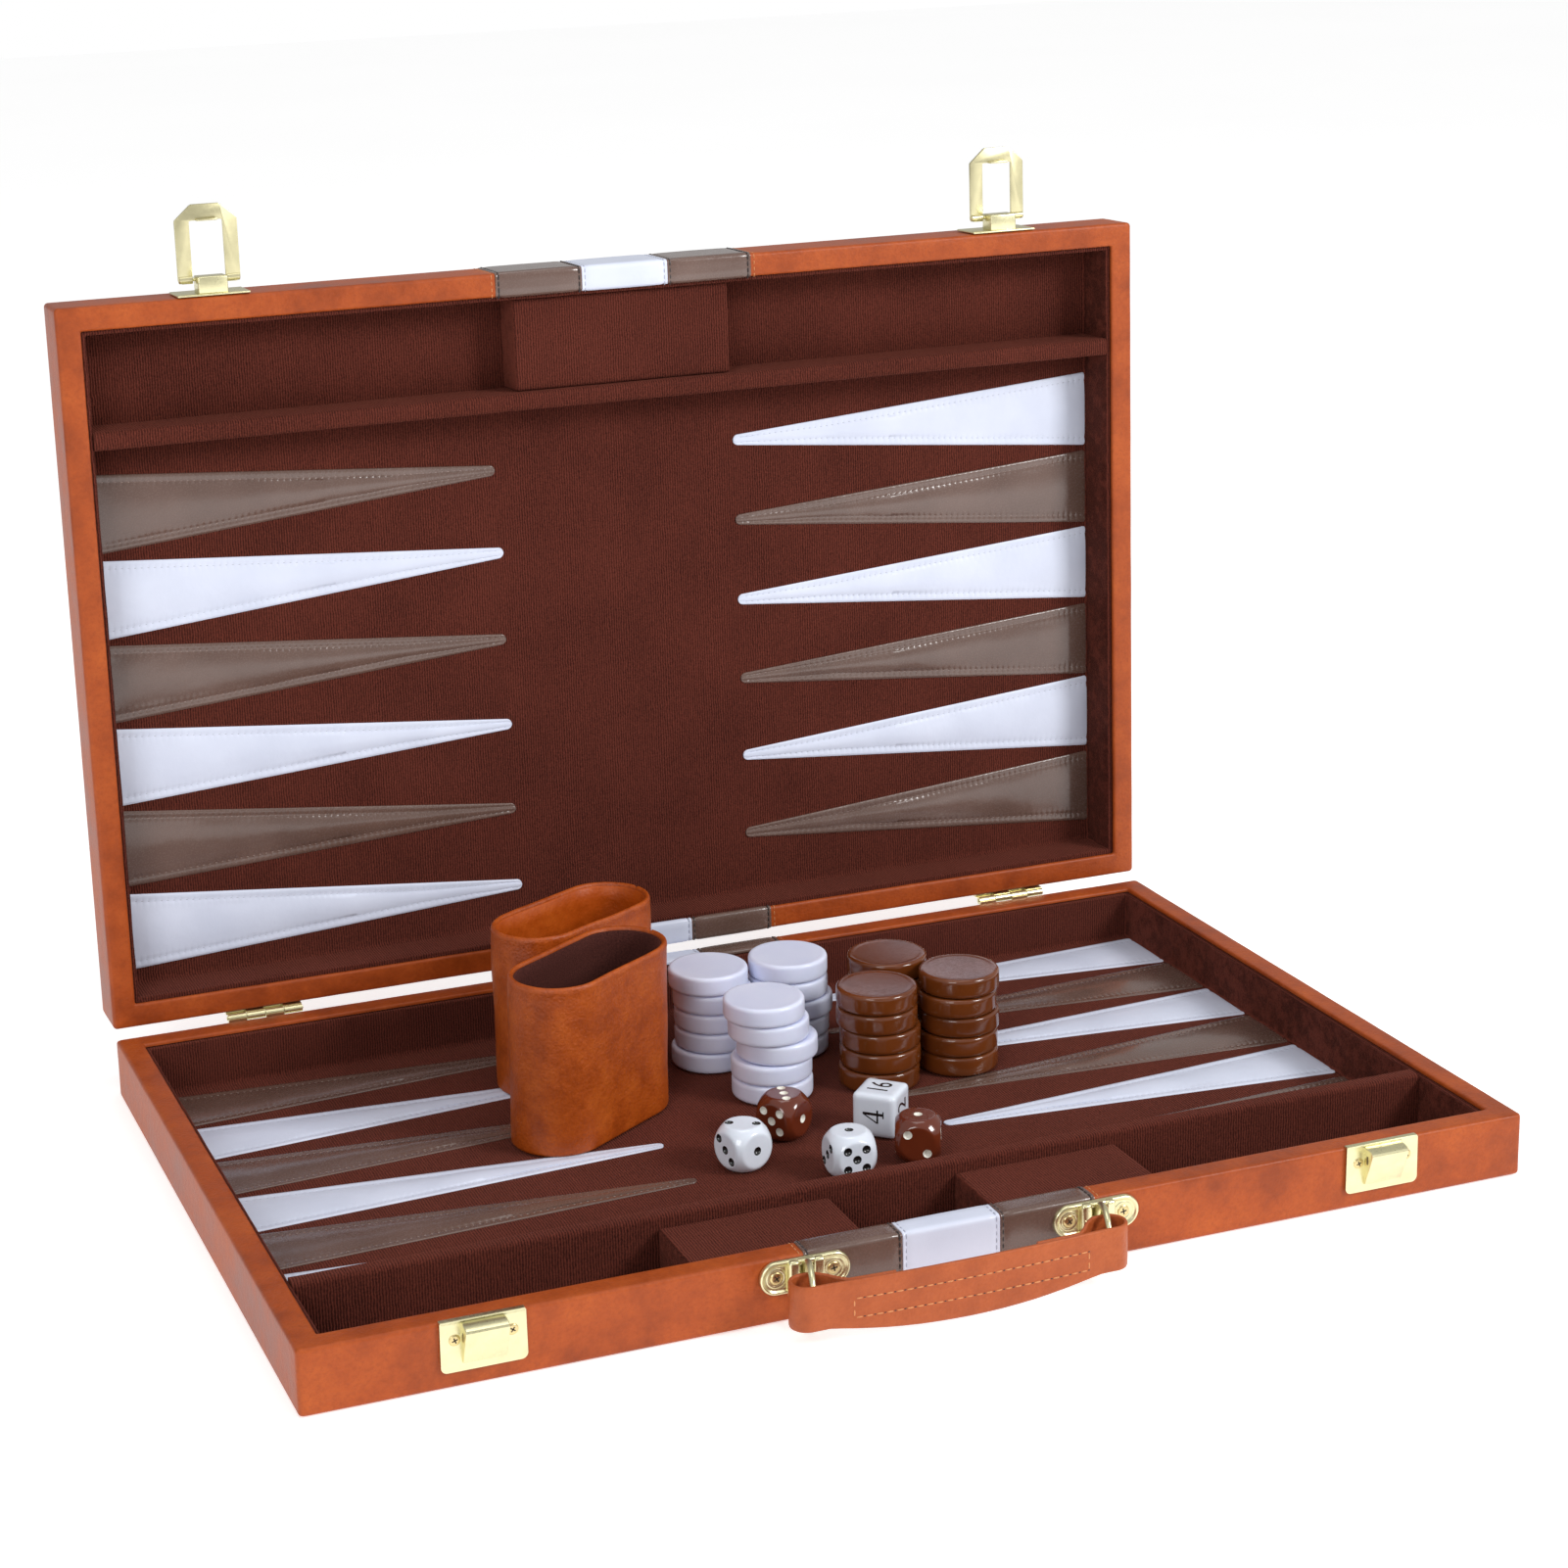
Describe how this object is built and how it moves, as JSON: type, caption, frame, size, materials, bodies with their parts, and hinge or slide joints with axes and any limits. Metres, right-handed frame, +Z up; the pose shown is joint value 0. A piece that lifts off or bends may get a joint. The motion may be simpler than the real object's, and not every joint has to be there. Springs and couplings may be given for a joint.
{
  "type": "backgammon set",
  "caption": "Hinged travel backgammon case standing open, with carry strap, snap hasps, dice cups, stacked checkers, dice and a doubling cube.",
  "frame": {"origin": "centre of the lower tray's underside", "axes": "+X to the right along the width, +Y towards the hinges and the standing lid, +Z up out of the lower tray"},
  "size_m": [0.457, 0.3477, 0.3487],
  "materials": {
    "leatherette": "grained orange-brown leatherette, satin",
    "felt": "dark brown felt, matt",
    "brass": "pale polished brass plating",
    "white_checker": "off-white, satin gloss",
    "brown_checker": "chestnut brown, glossy",
    "white_die": "white, glossy, black spots and numerals",
    "brown_die": "dark red-brown, glossy, white spots"
  },
  "bodies": {
    "root": {"lower_case": "leatherette", "lower_lining": "felt", "lower_divider": "felt", "lower_storage_block": "felt", "left_hinge_fixed_leaf": "brass", "right_hinge_fixed_leaf": "brass", "left_catch": "brass", "right_catch": "brass", "left_handle_bracket": "brass", "right_handle_bracket": "brass"},
    "lid": {"upper_case": "leatherette", "upper_lining": "felt", "upper_divider": "felt", "upper_storage_block": "felt", "left_hinge_lid_leaf": "brass", "right_hinge_lid_leaf": "brass", "left_hasp_plate": "brass", "right_hasp_plate": "brass"},
    "left_hasp": {"left_hasp": "brass"},
    "right_hasp": {"right_hasp": "brass"},
    "handle_rings": {"left_handle_ring": "brass", "right_handle_ring": "brass"},
    "carry_strap": {"carry_strap": "leatherette"},
    "front_dice_cup": {"front_dice_cup": "leatherette"},
    "rear_dice_cup": {"rear_dice_cup": "leatherette"},
    "white_die_1": {"white_die_1": "white_die"},
    "white_die_2": {"white_die_2": "white_die"},
    "brown_die_1": {"brown_die_1": "brown_die"},
    "brown_die_2": {"brown_die_2": "brown_die"},
    "doubling_cube": {"doubling_cube": "white_die"},
    "white_checker_01": {"white_checker_01": "white_checker"},
    "white_checker_02": {"white_checker_02": "white_checker"},
    "white_checker_03": {"white_checker_03": "white_checker"},
    "white_checker_04": {"white_checker_04": "white_checker"},
    "white_checker_05": {"white_checker_05": "white_checker"},
    "white_checker_06": {"white_checker_06": "white_checker"},
    "white_checker_07": {"white_checker_07": "white_checker"},
    "white_checker_08": {"white_checker_08": "white_checker"},
    "white_checker_09": {"white_checker_09": "white_checker"},
    "white_checker_10": {"white_checker_10": "white_checker"},
    "white_checker_11": {"white_checker_11": "white_checker"},
    "white_checker_12": {"white_checker_12": "white_checker"},
    "white_checker_13": {"white_checker_13": "white_checker"},
    "white_checker_14": {"white_checker_14": "white_checker"},
    "white_checker_15": {"white_checker_15": "white_checker"},
    "brown_checker_01": {"brown_checker_01": "brown_checker"},
    "brown_checker_02": {"brown_checker_02": "brown_checker"},
    "brown_checker_03": {"brown_checker_03": "brown_checker"},
    "brown_checker_04": {"brown_checker_04": "brown_checker"},
    "brown_checker_05": {"brown_checker_05": "brown_checker"},
    "brown_checker_06": {"brown_checker_06": "brown_checker"},
    "brown_checker_07": {"brown_checker_07": "brown_checker"},
    "brown_checker_08": {"brown_checker_08": "brown_checker"},
    "brown_checker_09": {"brown_checker_09": "brown_checker"},
    "brown_checker_10": {"brown_checker_10": "brown_checker"},
    "brown_checker_11": {"brown_checker_11": "brown_checker"},
    "brown_checker_12": {"brown_checker_12": "brown_checker"},
    "brown_checker_13": {"brown_checker_13": "brown_checker"},
    "brown_checker_14": {"brown_checker_14": "brown_checker"},
    "brown_checker_15": {"brown_checker_15": "brown_checker"}
  },
  "joints": [
    {"name": "lid_hinge", "type": "hinge", "parent": "root", "child": "lid", "pos_m": [0, 0.146, 0.0242], "axis": [-1, 0, 0], "range_deg": [-54, 88]},
    {"name": "left_hasp_hinge", "type": "hinge", "parent": "lid", "child": "left_hasp", "pos_m": [-0.1668, 0.16236, 0.31986], "axis": [1, 0, 0], "range_deg": [-80, 90]},
    {"name": "right_hasp_hinge", "type": "hinge", "parent": "lid", "child": "right_hasp", "pos_m": [0.169, 0.16236, 0.31986], "axis": [1, 0, 0], "range_deg": [-80, 90]},
    {"name": "handle_ring_swing", "type": "hinge", "parent": "root", "child": "handle_rings", "pos_m": [0, -0.1479, 0.0166], "axis": [-1, 0, 0], "range_deg": [0, 14]},
    {"name": "carry_strap_swing", "type": "hinge", "parent": "handle_rings", "child": "carry_strap", "pos_m": [0, -0.1551, 0.015], "axis": [-1, 0, 0], "range_deg": [0, 34]},
    {"name": "front_dice_cup_lift", "type": "slide", "parent": "root", "child": "front_dice_cup", "axis": [0, 0, 1], "range_m": [0, 0.09]},
    {"name": "rear_dice_cup_lift", "type": "slide", "parent": "root", "child": "rear_dice_cup", "axis": [0, 0, 1], "range_m": [0, 0.09]},
    {"name": "white_die_1_lift", "type": "slide", "parent": "root", "child": "white_die_1", "axis": [0, 0, 1], "range_m": [0, 0.06]},
    {"name": "white_die_2_lift", "type": "slide", "parent": "root", "child": "white_die_2", "axis": [0, 0, 1], "range_m": [0, 0.06]},
    {"name": "brown_die_1_lift", "type": "slide", "parent": "root", "child": "brown_die_1", "axis": [0, 0, 1], "range_m": [0, 0.06]},
    {"name": "brown_die_2_lift", "type": "slide", "parent": "root", "child": "brown_die_2", "axis": [0, 0, 1], "range_m": [0, 0.06]},
    {"name": "doubling_cube_lift", "type": "slide", "parent": "root", "child": "doubling_cube", "axis": [0, 0, 1], "range_m": [0, 0.06]},
    {"name": "white_checker_01_lift", "type": "slide", "parent": "root", "child": "white_checker_01", "axis": [0, 0, 1], "range_m": [0, 0.03]},
    {"name": "white_checker_02_lift", "type": "slide", "parent": "white_checker_01", "child": "white_checker_02", "axis": [0, 0, 1], "range_m": [0, 0.03]},
    {"name": "white_checker_03_lift", "type": "slide", "parent": "white_checker_02", "child": "white_checker_03", "axis": [0, 0, 1], "range_m": [0, 0.03]},
    {"name": "white_checker_04_lift", "type": "slide", "parent": "white_checker_03", "child": "white_checker_04", "axis": [0, 0, 1], "range_m": [0, 0.03]},
    {"name": "white_checker_05_lift", "type": "slide", "parent": "white_checker_04", "child": "white_checker_05", "axis": [0, 0, 1], "range_m": [0, 0.03]},
    {"name": "white_checker_06_lift", "type": "slide", "parent": "root", "child": "white_checker_06", "axis": [0, 0, 1], "range_m": [0, 0.03]},
    {"name": "white_checker_07_lift", "type": "slide", "parent": "white_checker_06", "child": "white_checker_07", "axis": [0, 0, 1], "range_m": [0, 0.03]},
    {"name": "white_checker_08_lift", "type": "slide", "parent": "white_checker_07", "child": "white_checker_08", "axis": [0, 0, 1], "range_m": [0, 0.03]},
    {"name": "white_checker_09_lift", "type": "slide", "parent": "white_checker_08", "child": "white_checker_09", "axis": [0, 0, 1], "range_m": [0, 0.03]},
    {"name": "white_checker_10_lift", "type": "slide", "parent": "white_checker_09", "child": "white_checker_10", "axis": [0, 0, 1], "range_m": [0, 0.03]},
    {"name": "white_checker_11_lift", "type": "slide", "parent": "root", "child": "white_checker_11", "axis": [0, 0, 1], "range_m": [0, 0.03]},
    {"name": "white_checker_12_lift", "type": "slide", "parent": "white_checker_11", "child": "white_checker_12", "axis": [0, 0, 1], "range_m": [0, 0.03]},
    {"name": "white_checker_13_lift", "type": "slide", "parent": "white_checker_12", "child": "white_checker_13", "axis": [0, 0, 1], "range_m": [0, 0.03]},
    {"name": "white_checker_14_lift", "type": "slide", "parent": "white_checker_13", "child": "white_checker_14", "axis": [0, 0, 1], "range_m": [0, 0.03]},
    {"name": "white_checker_15_lift", "type": "slide", "parent": "white_checker_14", "child": "white_checker_15", "axis": [0, 0, 1], "range_m": [0, 0.03]},
    {"name": "brown_checker_01_lift", "type": "slide", "parent": "root", "child": "brown_checker_01", "axis": [0, 0, 1], "range_m": [0, 0.03]},
    {"name": "brown_checker_02_lift", "type": "slide", "parent": "brown_checker_01", "child": "brown_checker_02", "axis": [0, 0, 1], "range_m": [0, 0.03]},
    {"name": "brown_checker_03_lift", "type": "slide", "parent": "brown_checker_02", "child": "brown_checker_03", "axis": [0, 0, 1], "range_m": [0, 0.03]},
    {"name": "brown_checker_04_lift", "type": "slide", "parent": "brown_checker_03", "child": "brown_checker_04", "axis": [0, 0, 1], "range_m": [0, 0.03]},
    {"name": "brown_checker_05_lift", "type": "slide", "parent": "brown_checker_04", "child": "brown_checker_05", "axis": [0, 0, 1], "range_m": [0, 0.03]},
    {"name": "brown_checker_06_lift", "type": "slide", "parent": "root", "child": "brown_checker_06", "axis": [0, 0, 1], "range_m": [0, 0.03]},
    {"name": "brown_checker_07_lift", "type": "slide", "parent": "brown_checker_06", "child": "brown_checker_07", "axis": [0, 0, 1], "range_m": [0, 0.03]},
    {"name": "brown_checker_08_lift", "type": "slide", "parent": "brown_checker_07", "child": "brown_checker_08", "axis": [0, 0, 1], "range_m": [0, 0.03]},
    {"name": "brown_checker_09_lift", "type": "slide", "parent": "brown_checker_08", "child": "brown_checker_09", "axis": [0, 0, 1], "range_m": [0, 0.03]},
    {"name": "brown_checker_10_lift", "type": "slide", "parent": "brown_checker_09", "child": "brown_checker_10", "axis": [0, 0, 1], "range_m": [0, 0.03]},
    {"name": "brown_checker_11_lift", "type": "slide", "parent": "root", "child": "brown_checker_11", "axis": [0, 0, 1], "range_m": [0, 0.03]},
    {"name": "brown_checker_12_lift", "type": "slide", "parent": "brown_checker_11", "child": "brown_checker_12", "axis": [0, 0, 1], "range_m": [0, 0.03]},
    {"name": "brown_checker_13_lift", "type": "slide", "parent": "brown_checker_12", "child": "brown_checker_13", "axis": [0, 0, 1], "range_m": [0, 0.03]},
    {"name": "brown_checker_14_lift", "type": "slide", "parent": "brown_checker_13", "child": "brown_checker_14", "axis": [0, 0, 1], "range_m": [0, 0.03]},
    {"name": "brown_checker_15_lift", "type": "slide", "parent": "brown_checker_14", "child": "brown_checker_15", "axis": [0, 0, 1], "range_m": [0, 0.03]}
  ]
}
